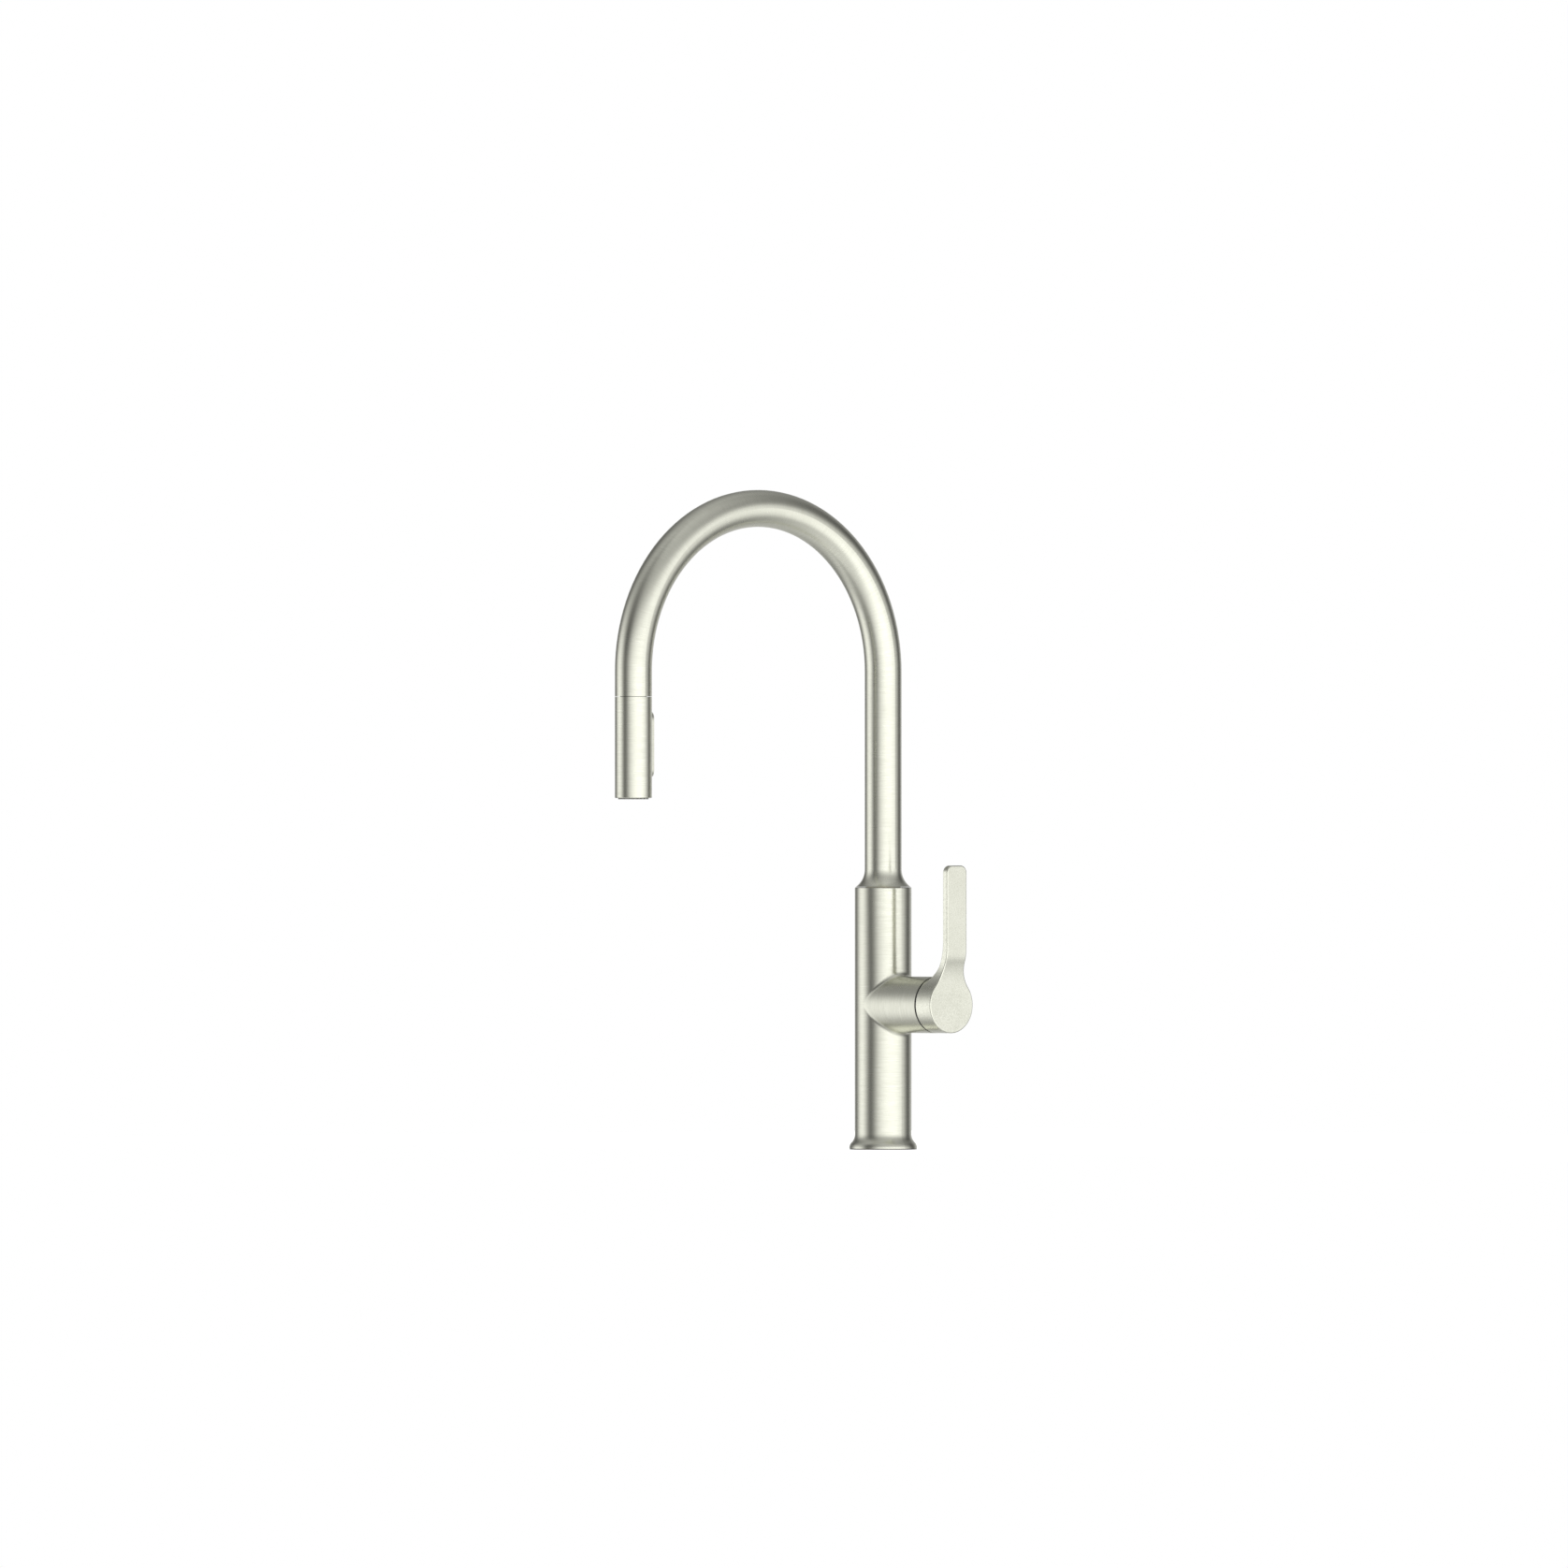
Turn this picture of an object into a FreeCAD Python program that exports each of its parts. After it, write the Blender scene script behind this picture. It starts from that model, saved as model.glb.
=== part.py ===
import FreeCAD, Part
import math
import os
import re
import Sketcher
from FreeCAD import Vector

# Pull-down kitchen faucet, in millimetres.
# Frame: origin on the body axis in the deck plane, +Z up, spout towards -Y, valve and handle towards +X.
# A depth along the valve axis is counted in +X from the body axis, a radius there from the valve axis.

DIMENSIONS = {
    # gaps: turning fit, pushed-together pieces, pieces that must stay clear; stock is trimmed off later
    "fit_gap": 0.05, "push_gap": 0.1, "free_gap": 0.3, "stock": 6.0,
    # body and base
    "body_radius": 19.7, "body_top": 182.1, "body_bore": 17.2, "body_edge": 0.8,
    "flange_radius": 23.6, "flange_edge": 0.9, "flare_round": 5.7, "flare_radius": 22.0,
    "flare_height": 4.9, "flare_hollow": 8.0, "flare_top": 10.5,
    "gasket_height": 0.6, "gasket_radius": 23.2, "gasket_bore": 17.6,
    # valve branch
    "valve_height": 100.6, "branch_radius": 19.6, "branch_end": 56.6, "branch_bore": 16.6,
    "junction_fillet": 3.5,
    # base insert: ports, tubes and stud holes share one circle round the hose
    "insert_top": 24.0, "hose_passage": 5.9, "port_circle": 11.4, "port_radius": 4.0,
    "port_depth": 12.0, "stud_radius": 3.0, "tube_radius": 3.5, "tube_bore": 2.5,
    "tube_bottom": 15.0, "tube_top": 88.5,
    # valve core
    "core_bottom": 84.0, "core_top": 117.0, "core_radius": 16.9, "seat_depth": 24.0, "seat_radius": 16.3,
    "duct_radius": 2.2, "inlet_side": 7.5, "inlet_rise": 3.0, "outlet_drop": 7.0,
    # cartridge: depths along the valve axis, then the slider's tongue in the rotor's channel
    "seal_height": 0.8, "seal_wall": 1.0, "disc_start": 28.0, "disc_joint": 31.0, "carrier_start": 34.0,
    "carrier_end": 38.6, "rotor_start": 38.9, "pivot_depth": 43.4, "housing_end": 44.0,
    "rotor_shoulder": 47.0, "housing_lip": 2.0, "rotor_end": 49.5, "cartridge_nut_end": 50.5,
    "cartridge_radius": 14.0, "chamber_radius": 12.6, "disc_radius": 11.5, "rotor_radius": 9.7,
    "slider_radius": 9.0, "housing_mouth": 8.8, "rotor_neck": 8.5,
    "mixing_radius": 6.0, "mixing_drop": 1.5, "mixing_depth": 1.4,
    "tongue_half": 5.5, "tongue_low": 7.0, "tongue_high": 5.0, "tongue_height": 1.2,
    "socket_start": 34.3, "socket_radius": 2.8, "relief_start": 38.3, "slot_low": 6.6, "slot_high": 4.5,
    # stem and its tilt pin
    "lever_arm": 6.2, "ball_radius": 2.5, "stem_neck": 2.0, "stem_step": 41.2, "stem_radius": 3.5,
    "stem_end": 71.8, "stem_gap": 0.2, "pin_radius": 1.25, "pin_inset": 0.4,
    # dome and handle
    "dome_start": 51.0, "dome_skirt": 14.6, "dome_radius": 23.6, "dome_inner": 22.0, "dome_rim": 19.2,
    "dome_mouth": 12.85, "cavity_radius": 24.0, "hollow_start": 57.0, "hub_start": 58.1,
    "hub_radius": 19.5, "disc_face": 73.5, "blade_face": 79.3, "blade_back": 74.4, "blade_half": 8.9,
    "blade_end": 96.7, "blade_corner": 5.0, "waist_height": 30.3, "bend_start": 8.0, "bend_turn": 30.0,
    "bend_end": 38.5, "web_start": 58.6, "web_join": 29.8, "web_end": 44.9, "web_radius": 17.1,
    "web_easing": 39.4, "edge_round": 0.8, "insert_start": 67.4, "insert_radius": 5.0, "screw_depth": 69.7,
    "screw_radius": 2.0, "screw_length": 10.5, "screw_tip": 1.0, "hex_radius": 1.0, "hex_depth": 2.5,
    # neck and swivel
    "neck_bottom": 182.4, "neck_radius": 19.0, "neck_waist": 194.6, "neck_top": 195.2,
    "foot_radius": 12.0, "foot_bore": 9.5, "foot_bottom": 124.0, "foot_top": 212.0,
    "clip_bottom": 124.5, "clip_top": 126.0, "clip_bite": 1.0, "clip_radius": 14.0, "clip_mouth": 3.0,
    "lower_bush_bottom": 126.5, "lower_bush_top": 136.0, "upper_bush_bottom": 168.1,
    "upper_bush_top": 180.5, "guide_bore": 5.6, "guide_top": 134.0,
    "stop_height": 150.0, "stop_half_height": 4.0, "stop_gap": 1.2, "stop_half_angle": 67.5,
    "stop_pin_radius": 1.5, "stop_pin_start": 10.0, "stop_pin_length": 5.6,
    # spout and its magnetic dock
    "spout_radius": 12.8, "spout_bore": 11.3, "arch_radius": 112.8, "arch_base": 331.8, "spout_end": 314.25,
    "dock_bore": 9.5, "dock_bottom": 315.0, "dock_top": 330.0, "dock_recess": 10.0,
    "magnet_bottom": 320.0, "magnet_top": 325.0,
    # hose, its ferrule and nut
    "hose_radius": 5.0, "hose_bore": 3.4, "hose_start": 0.5, "hose_end": 300.5, "hose_gap": 0.2,
    "ferrule_bore": 2.2, "ferrule_flange": 6.8, "ferrule_radius": 6.2, "ferrule_bottom": 298.5,
    "ferrule_step": 300.0, "barb_top": 312.0, "ferrule_top": 317.0,
    "hose_nut_bore": 7.0, "hose_nut_radius": 9.0, "hose_nut_bottom": 293.0, "hose_nut_top": 307.0,
    "washer_bore": 2.5, "washer_radius": 6.0, "washer_bottom": 298.0,
    # spray head
    "head_top": 313.95, "head_bottom": 244.1, "head_radius": 12.8, "head_bore": 11.4, "head_edge": 0.6,
    "head_roof": 2.5, "spigot_bore": 6.6, "spigot_radius": 9.1, "spigot_bottom": 309.45,
    "spigot_top": 329.0, "lead_in": 0.6, "lead_length": 3.0, "magnet_inner": 7.7,
    # waterway in the head
    "way_bore": 3.0, "valve_pocket": 4.2, "pocket_bottom": 284.0, "nose_radius": 6.9,
    "trunk_top": 292.8, "trunk_radius": 8.6, "collar_top": 255.5, "collar_bottom": 252.0,
    "groove_top": 254.6, "groove_bottom": 252.9, "groove_radius": 10.0, "seal_cord": 0.65,
    "spray_chamber": 7.0, "chamber_roof": 256.0,
    "check_bottom": 286.0, "check_shoulder": 288.0, "check_floor": 289.0, "check_top": 297.0,
    "check_radius": 4.1, "check_bore": 3.2,
    # spray face
    "face_bottom": 244.6, "face_top": 248.0, "mat_top": 249.2, "plate_bottom": 249.4,
    "plate_top": 251.8, "nozzle_tip": 243.2, "nozzle_radius": 0.85, "jet_radius": 0.35,
    "feed_radius": 1.1, "aerator_radius": 5.1, "aerator_bore": 4.4, "aerator_bottom": 244.8,
    "aerator_top": 251.3, "screen_bottom": 246.2, "screen_top": 247.0,
    # rocker, its ears on the waterway, and the plunger it works
    "rocker_height": 281.05, "rocker_half": 22.75, "rocker_width": 6.0, "rocker_gap": 0.6,
    "rocker_outer": 15.0, "rocker_inner": 10.9, "rocker_pivot": 8.0, "rocker_pin": 0.75,
    "ear_offset": 3.95, "ear_width": 1.3, "ear_start": 6.0, "ear_end": 8.9, "ear_half": 2.0,
    "boss_wall": 1.3, "boss_half": 1.6, "boss_width": 6.0,
    "boss_pocket": 6.4, "pocket_half": 2.6, "pocket_width": 6.6,
    "plunger_drop": 13.0, "plunger_radius": 1.6, "plunger_rim": 0.8, "plunger_start": 3.0,
    "plunger_head": 9.3, "plunger_end": 10.6,
}
INLET_ANGLE = 65.0
STUD_ANGLES = (135.0, 225.0)
NOZZLE_RINGS = ((20, 9.7), (14, 7.0))

doc = FreeCAD.newDocument("kitchen_faucet")
sheet = doc.addObject("Spreadsheet::Sheet", "dims")
for row, (alias, number) in enumerate(DIMENSIONS.items(), start=1):
    sheet.set("A%d" % row, alias)
    sheet.set("B%d" % row, str(number))
    sheet.setAlias("B%d" % row, alias)
doc.recompute()

subparts = []


# ---- helpers: every size is a formula of the sheet's aliases ----

def formula(text):
    """The formula as an expression, with each alias pointed at the sheet."""
    return re.sub(r"[a-z_]+", lambda word: "dims." + word.group() if word.group() in DIMENSIONS
                  else word.group(), text)


def size(text):
    """The formula's present value."""
    return float(sheet.evalExpression(formula(text)))


def new_body(label, x="0", y="0", z="0"):
    """A body of its own, kept as a sub-part, with its origin at the named place."""
    body = doc.addObject("PartDesign::Body", label)
    body.Label = label
    for axis, text in zip("xyz", (x, y, z)):
        if text != "0":
            body.setExpression("Placement.Base." + axis, formula(text))
    subparts.append(body)
    return body


def origin_plane(body, role):
    return next(feature for feature in body.Origin.OriginFeatures if feature.Role == role)


def new_sketch(body, role="XZ_Plane", offset="0"):
    """A sketch on one of the body's planes, moved along the plane's normal."""
    sketch = body.newObject("Sketcher::SketchObject", body.Name + "_sketch")
    sketch.AttachmentSupport = [(origin_plane(body, role), "")]
    sketch.MapMode = "FlatFace"
    if offset != "0":
        sketch.setExpression("AttachmentOffset.Base.z", formula(offset))
    return sketch


def constrain(sketch, *details):
    return sketch.addConstraint(Sketcher.Constraint(*details))


def bind(sketch, kind, *target, text):
    """A dimension of the sketch, tied to its formula; a zero puts the point on the sketch's axis."""
    if text == "0":
        constrain(sketch, "PointOnObject", *target, -2 if kind == "DistanceX" else -1)
        return
    index = constrain(sketch, kind, *target, size(text))
    if not re.fullmatch(r"-?[\d.]+", text):
        sketch.setExpression("Constraints[%d]" % index, formula(text))


def arc_through(start, end, radius):
    """The short arc between two points; a positive radius turns left on the way."""
    chord = end - start
    left = Vector(-chord.y, chord.x, 0).normalize()
    rise = abs(radius) - math.sqrt(max(radius ** 2 - (chord.Length / 2) ** 2, 0))
    middle = (start + end) * 0.5 - left * math.copysign(rise, radius)
    return Part.Arc(start, middle, end)


def draw_outline(sketch, corners):
    """A closed outline. A third item in a corner is the radius of the arc that arrives there."""
    points = [Vector(size(corner[0]), size(corner[1]), 0) for corner in corners]
    ends = []
    for index, corner in enumerate(corners):
        start, end = points[index - 1], points[index]
        if len(corner) == 3:
            edge = sketch.addGeometry(arc_through(start, end, size(corner[2])))
            turns_left = size(corner[2]) > 0
            ends.append((edge, 1, 2) if turns_left else (edge, 2, 1))
        else:
            edge = sketch.addGeometry(Part.LineSegment(start, end))
            ends.append((edge, 1, 2))
    for index, corner in enumerate(corners):
        edge, first, last = ends[index]
        following = ends[(index + 1) % len(ends)]
        constrain(sketch, "Coincident", edge, last, following[0], following[1])
        bind(sketch, "DistanceX", edge, last, text=corner[0])
        bind(sketch, "DistanceY", edge, last, text=corner[1])
        if len(corner) == 3:
            bind(sketch, "Radius", edge, text=corner[2].lstrip("-"))


def draw_circle(sketch, radius, x="0", y="0"):
    circle = sketch.addGeometry(Part.Circle(Vector(size(x), size(y), 0), Vector(0, 0, 1), size(radius)))
    bind(sketch, "Radius", circle, text=radius)
    bind(sketch, "DistanceX", circle, 3, text=x)
    bind(sketch, "DistanceY", circle, 3, text=y)


def draw_rectangle(sketch, left, right, low, high):
    draw_outline(sketch, [(left, low), (right, low), (right, high), (left, high)])


def draw_slot(sketch, half_width, half_length, middle):
    """An upright slot with round ends, centred on the sketch's vertical axis."""
    low = "%s - %s + %s" % (middle, half_length, half_width)
    high = "%s + %s - %s" % (middle, half_length, half_width)
    top, bottom = "%s + %s" % (middle, half_length), "%s - %s" % (middle, half_length)
    minus = "-1 * (%s)" % half_width
    draw_outline(sketch, [(minus, low), ("0", bottom, half_width), (half_width, low, half_width),
                          (half_width, high), ("0", top, half_width), (minus, high, half_width)])


def revolve(body, sketch, axis="V_Axis", cut=False):
    """Turns the sketch a full turn about its own axis, as material or as a cut."""
    kind = "Groove" if cut else "Revolution"
    feature = body.newObject("PartDesign::" + kind, body.Name + "_" + kind.lower())
    feature.Profile = sketch
    feature.ReferenceAxis = (sketch, [axis])
    feature.Angle = 360
    return feature


def turned(label, corners, x="0", y="0", z="0"):
    """A piece turned about a vertical axis: corners are (radius, height)."""
    body = new_body(label, x, y, z)
    sketch = new_sketch(body)
    draw_outline(sketch, corners)
    revolve(body, sketch)
    return body


def turned_on_valve(label, corners):
    """A piece turned about the valve axis: corners are (depth, radius)."""
    body = new_body(label, z="valve_height")
    sketch = new_sketch(body)
    draw_outline(sketch, corners)
    revolve(body, sketch, "H_Axis")
    return body


def ring(inner, outer, low, high):
    return [(inner, low), (outer, low), (outer, high), (inner, high)]


def extrude(body, sketch, length, cut=False, backwards=False, both_ways=False):
    """A pad runs along the plane's normal and a pocket against it, unless it is backwards."""
    kind = "Pocket" if cut else "Pad"
    feature = body.newObject("PartDesign::" + kind, body.Name + "_" + kind.lower())
    feature.Profile = sketch
    feature.setExpression("Length", formula(length))
    feature.Reversed = backwards
    feature.Midplane = both_ways
    return feature


def fillet(body, radius, edges):
    """A fillet on the named edges of what the body has so far."""
    before = body.Tip
    feature = body.newObject("PartDesign::Fillet", radius)
    feature.Base = (before, edges)
    feature.setExpression("Radius", formula(radius))


def sweep(label, radius, bore, start, end):
    """A round tube up the body axis, round the arch and down to the end."""
    body = new_body(label)
    route = new_sketch(body, "YZ_Plane")
    lift = size("arch_base")
    reach = -2 * size("arch_radius")
    riser = route.addGeometry(Part.LineSegment(Vector(0, size(start), 0), Vector(0, lift, 0)))
    top = Vector(reach / 2, lift + size("arch_radius"), 0)
    arch = route.addGeometry(Part.Arc(Vector(0, lift, 0), top, Vector(reach, lift, 0)))
    drop = route.addGeometry(Part.LineSegment(Vector(reach, lift, 0), Vector(reach, size(end), 0)))
    constrain(route, "Coincident", riser, 2, arch, 1)
    constrain(route, "Coincident", arch, 2, drop, 1)
    bind(route, "DistanceX", riser, 1, text="0")
    bind(route, "DistanceY", riser, 1, text=start)
    bind(route, "DistanceX", riser, 2, text="0")
    bind(route, "DistanceY", riser, 2, text="arch_base")
    bind(route, "DistanceX", arch, 3, text="-arch_radius")
    bind(route, "DistanceY", arch, 3, text="arch_base")
    bind(route, "DistanceY", drop, 1, text="arch_base")
    bind(route, "DistanceX", drop, 2, text="-2 * arch_radius")
    bind(route, "DistanceY", drop, 2, text=end)
    section = new_sketch(body, "XY_Plane", start)
    draw_circle(section, radius)
    draw_circle(section, bore)
    pipe = body.newObject("PartDesign::AdditivePipe", label + "_pipe")
    pipe.Profile = section
    pipe.Spine = (route, [])
    return body


def polar(radius, angle):
    """Two formulas for a place on a circle about the sketch's origin."""
    turn = math.radians(angle)
    return "%s * %.6f" % (radius, math.cos(turn)), "%s * %.6f" % (radius, math.sin(turn))


# ---- body and base ----

def make_body_shell():
    body = new_body("body_shell")
    profile = new_sketch(body)
    draw_outline(profile, [
        ("body_bore", "gasket_height"), ("flange_radius", "gasket_height"),
        ("flange_radius", "gasket_height + flange_edge"), ("flare_radius", "flare_height", "flare_round"),
        ("body_radius", "flare_top", "-flare_hollow"), ("body_radius", "body_top - body_edge"),
        ("body_radius - body_edge", "body_top", "body_edge"), ("body_bore", "body_top")])
    revolve(body, profile)
    branch = new_sketch(body, "YZ_Plane")
    draw_circle(branch, "branch_radius", y="valve_height")
    extrude(body, branch, "branch_end")
    doc.recompute()
    junction = ["Edge%d" % number for number, edge in enumerate(body.Shape.Edges, start=1)
                if on_both_cylinders(edge)]
    fillet(body, "junction_fillet", junction)
    bore = new_sketch(body, "XY_Plane")
    draw_circle(bore, "body_bore")
    extrude(body, bore, "body_top", cut=True, backwards=True)
    branch_bore = new_sketch(body, "YZ_Plane")
    draw_circle(branch_bore, "branch_bore", y="valve_height")
    extrude(body, branch_bore, "branch_end", cut=True, backwards=True)


def on_both_cylinders(edge):
    """True for the curve where the branch leaves the body."""
    span = edge.LastParameter - edge.FirstParameter
    for step in range(5):
        point = edge.valueAt(edge.FirstParameter + span * step / 4)
        off_body = math.hypot(point.x, point.y) - size("body_radius")
        off_branch = math.hypot(point.y, point.z - size("valve_height")) - size("branch_radius")
        if max(abs(off_body), abs(off_branch)) > 0.001:
            return False
    return True


def make_base():
    turned("base_gasket", ring("gasket_bore", "gasket_radius", "0", "gasket_height"))
    insert = turned("base_insert", ring("hose_passage", "body_bore", "gasket_height", "insert_top"))
    ports = new_sketch(insert, "XY_Plane", "gasket_height")
    for angle in (-INLET_ANGLE, 0, INLET_ANGLE):
        draw_circle(ports, "port_radius", *polar("port_circle", angle))
    for angle in STUD_ANGLES:
        draw_circle(ports, "stud_radius", *polar("port_circle", angle))
    extrude(insert, ports, "port_depth", cut=True, backwards=True)
    sockets = new_sketch(insert, "XY_Plane", "tube_bottom")
    ways = new_sketch(insert, "XY_Plane")
    for angle in (-INLET_ANGLE, 0, INLET_ANGLE):
        draw_circle(sockets, "tube_radius", *polar("port_circle", angle))
        draw_circle(ways, "tube_bore", *polar("port_circle", angle))
    extrude(insert, sockets, "insert_top - tube_bottom", cut=True, backwards=True)
    extrude(insert, ways, "insert_top", cut=True, backwards=True)
    tubes = {"inlet_tube_cold": -INLET_ANGLE, "outlet_tube": 0, "inlet_tube_hot": INLET_ANGLE}
    for name, angle in tubes.items():
        turned(name, ring("tube_bore", "tube_radius", "tube_bottom", "tube_top"),
               *polar("port_circle", angle))


def make_valve_core():
    core = turned("valve_core", ring("hose_passage", "core_radius", "core_bottom", "core_top"))
    seat = new_sketch(core, "YZ_Plane")
    draw_circle(seat, "seat_radius", y="valve_height")
    extrude(core, seat, "seat_depth")
    passage = new_sketch(core, "XY_Plane")
    draw_circle(passage, "hose_passage")
    extrude(core, passage, "core_top", cut=True, backwards=True)
    sockets = new_sketch(core, "XY_Plane")
    for angle in (-INLET_ANGLE, 0, INLET_ANGLE):
        draw_circle(sockets, "tube_radius", *polar("port_circle", angle))
    extrude(core, sockets, "tube_top", cut=True, backwards=True)
    inlets = new_sketch(core, "XY_Plane")
    for angle in (-INLET_ANGLE, INLET_ANGLE):
        draw_circle(inlets, "tube_bore", *polar("port_circle", angle))
    extrude(core, inlets, "valve_height + inlet_rise + duct_radius", cut=True, backwards=True)
    outlet = new_sketch(core, "XY_Plane")
    draw_circle(outlet, "tube_bore", *polar("port_circle", 0))
    extrude(core, outlet, "valve_height - outlet_drop + duct_radius", cut=True, backwards=True)
    inlet_ducts = new_sketch(core, "YZ_Plane", "seat_depth")
    draw_inlet_pair(inlet_ducts, "valve_height + inlet_rise")
    extrude(core, inlet_ducts, "seat_depth - " + polar("port_circle", INLET_ANGLE)[0], cut=True)
    outlet_duct = new_sketch(core, "YZ_Plane", "seat_depth")
    draw_circle(outlet_duct, "duct_radius", y="valve_height - outlet_drop")
    extrude(core, outlet_duct, "seat_depth - port_circle", cut=True)


def draw_inlet_pair(sketch, rise, radius="duct_radius"):
    draw_circle(sketch, radius, "inlet_side", rise)
    draw_circle(sketch, radius, "-inlet_side", rise)


# ---- cartridge, from the valve core outwards ----

def make_cartridge():
    seals = new_body("port_seals", z="valve_height")
    seals.AllowCompound = True
    outside = new_sketch(seals, "YZ_Plane", "seat_depth")
    draw_inlet_pair(outside, "inlet_rise", "duct_radius + seal_wall")
    draw_circle(outside, "duct_radius + seal_wall", y="-outlet_drop")
    draw_inlet_pair(outside, "inlet_rise")
    draw_circle(outside, "duct_radius", y="-outlet_drop")
    extrude(seals, outside, "seal_height")

    base_start = "seat_depth + seal_height"
    base = turned_on_valve("cartridge_base", [(base_start, "0"), ("disc_start", "0"),
                                              ("disc_start", "cartridge_radius"),
                                              (base_start, "cartridge_radius")])
    fixed = turned_on_valve("ceramic_disc_fixed", [("disc_start", "0"), ("disc_joint", "0"),
                                                   ("disc_joint", "disc_radius"),
                                                   ("disc_start", "disc_radius")])
    for piece in (base, fixed):
        ports = new_sketch(piece, "YZ_Plane", "disc_joint")
        draw_inlet_pair(ports, "inlet_rise")
        draw_circle(ports, "duct_radius", y="-outlet_drop")
        extrude(piece, ports, "disc_joint - seat_depth", cut=True)

    turned_on_valve("cartridge_housing", [
        ("disc_start", "chamber_radius"), ("rotor_start - free_gap", "chamber_radius"),
        ("rotor_start - free_gap", "rotor_radius + fit_gap"),
        ("rotor_shoulder + free_gap", "rotor_radius + fit_gap"),
        ("rotor_shoulder + free_gap", "housing_mouth"),
        ("rotor_shoulder + housing_lip", "housing_mouth"),
        ("rotor_shoulder + housing_lip", "disc_radius"), ("housing_end", "disc_radius"),
        ("housing_end", "cartridge_radius"), ("disc_start", "cartridge_radius")])
    turned_on_valve("cartridge_nut", [
        ("housing_end", "disc_radius + push_gap"), ("cartridge_nut_end", "disc_radius + push_gap"),
        ("cartridge_nut_end", "branch_bore"), ("housing_end", "branch_bore")])


def make_disc_slider():
    joint = "disc_joint + fit_gap"
    disc = turned_on_valve("ceramic_disc_moving", [(joint, "0"), ("carrier_start", "0"),
                                                   ("carrier_start", "slider_radius"),
                                                   (joint, "slider_radius")])
    mixing = new_sketch(disc, "YZ_Plane", joint)
    draw_circle(mixing, "mixing_radius", y="-mixing_drop")
    extrude(disc, mixing, "mixing_depth", cut=True, backwards=True)

    carrier = turned_on_valve("disc_carrier", [("carrier_start", "0"), ("carrier_end", "0"),
                                               ("carrier_end", "slider_radius"),
                                               ("carrier_start", "slider_radius")])
    tongue = new_sketch(carrier, "YZ_Plane", "carrier_end")
    draw_rectangle(tongue, "-tongue_half", "tongue_half", "-tongue_low", "tongue_high")
    extrude(carrier, tongue, "tongue_height")
    relief = new_sketch(carrier, "YZ_Plane", "relief_start")
    draw_rectangle(relief, "-socket_radius", "socket_radius", "-2 * socket_radius", "socket_radius")
    extrude(carrier, relief, "2 * tongue_height", cut=True, backwards=True)
    socket = new_sketch(carrier, "YZ_Plane", "socket_start")
    draw_circle(socket, "socket_radius")
    extrude(carrier, socket, "carrier_end - socket_start", cut=True, backwards=True)


def make_rotor():
    rotor = turned_on_valve("cartridge_rotor", [
        ("rotor_start", "0"), ("rotor_end", "0"), ("rotor_end", "rotor_neck"),
        ("rotor_shoulder", "rotor_neck"), ("rotor_shoulder", "rotor_radius"),
        ("rotor_start", "rotor_radius")])
    channel = new_sketch(rotor, "YZ_Plane", "rotor_start")
    draw_rectangle(channel, "-tongue_half - fit_gap", "tongue_half + fit_gap",
                   "-rotor_radius - 1", "rotor_radius + 1")
    extrude(rotor, channel, "tongue_height", cut=True, backwards=True)
    slot = new_sketch(rotor, "YZ_Plane", "rotor_start")
    draw_rectangle(slot, "-stem_radius - free_gap", "stem_radius + free_gap", "-slot_low", "slot_high")
    extrude(rotor, slot, "rotor_end - rotor_start + 1", cut=True, backwards=True)
    pin_hole = new_sketch(rotor, "XZ_Plane")
    draw_circle(pin_hole, "pin_radius", "pivot_depth")
    extrude(rotor, pin_hole, "3 * rotor_radius", cut=True, both_ways=True)

    pin = new_body("tilt_pin", z="valve_height")
    section = new_sketch(pin, "XZ_Plane")
    draw_circle(section, "pin_radius", "pivot_depth")
    extrude(pin, section, "2 * (rotor_radius - pin_inset)", both_ways=True)


# ---- dome and handle ----

def make_dome():
    inner_mouth = "dome_mouth * dome_inner / dome_radius"
    turned_on_valve("bonnet_dome", [
        ("dome_start", "dome_skirt"), ("dome_start", "branch_bore - push_gap"),
        ("branch_end", "branch_bore - push_gap"),
        ("branch_end", "dome_rim"), (sphere_depth("dome_radius", "dome_rim"), "dome_rim"),
        (sphere_depth("dome_radius", "dome_mouth"), "dome_mouth", "-dome_radius"),
        (sphere_depth("dome_inner", inner_mouth), inner_mouth),
        (sphere_depth("dome_inner", "dome_skirt"), "dome_skirt", "dome_inner")])


def sphere_depth(radius, off_axis):
    """Depth of a point of a sphere round the tilt pivot, at a distance from the valve axis."""
    return "pivot_depth + sqrt(%s ^ 2 - (%s) ^ 2)" % (radius, off_axis)


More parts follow.
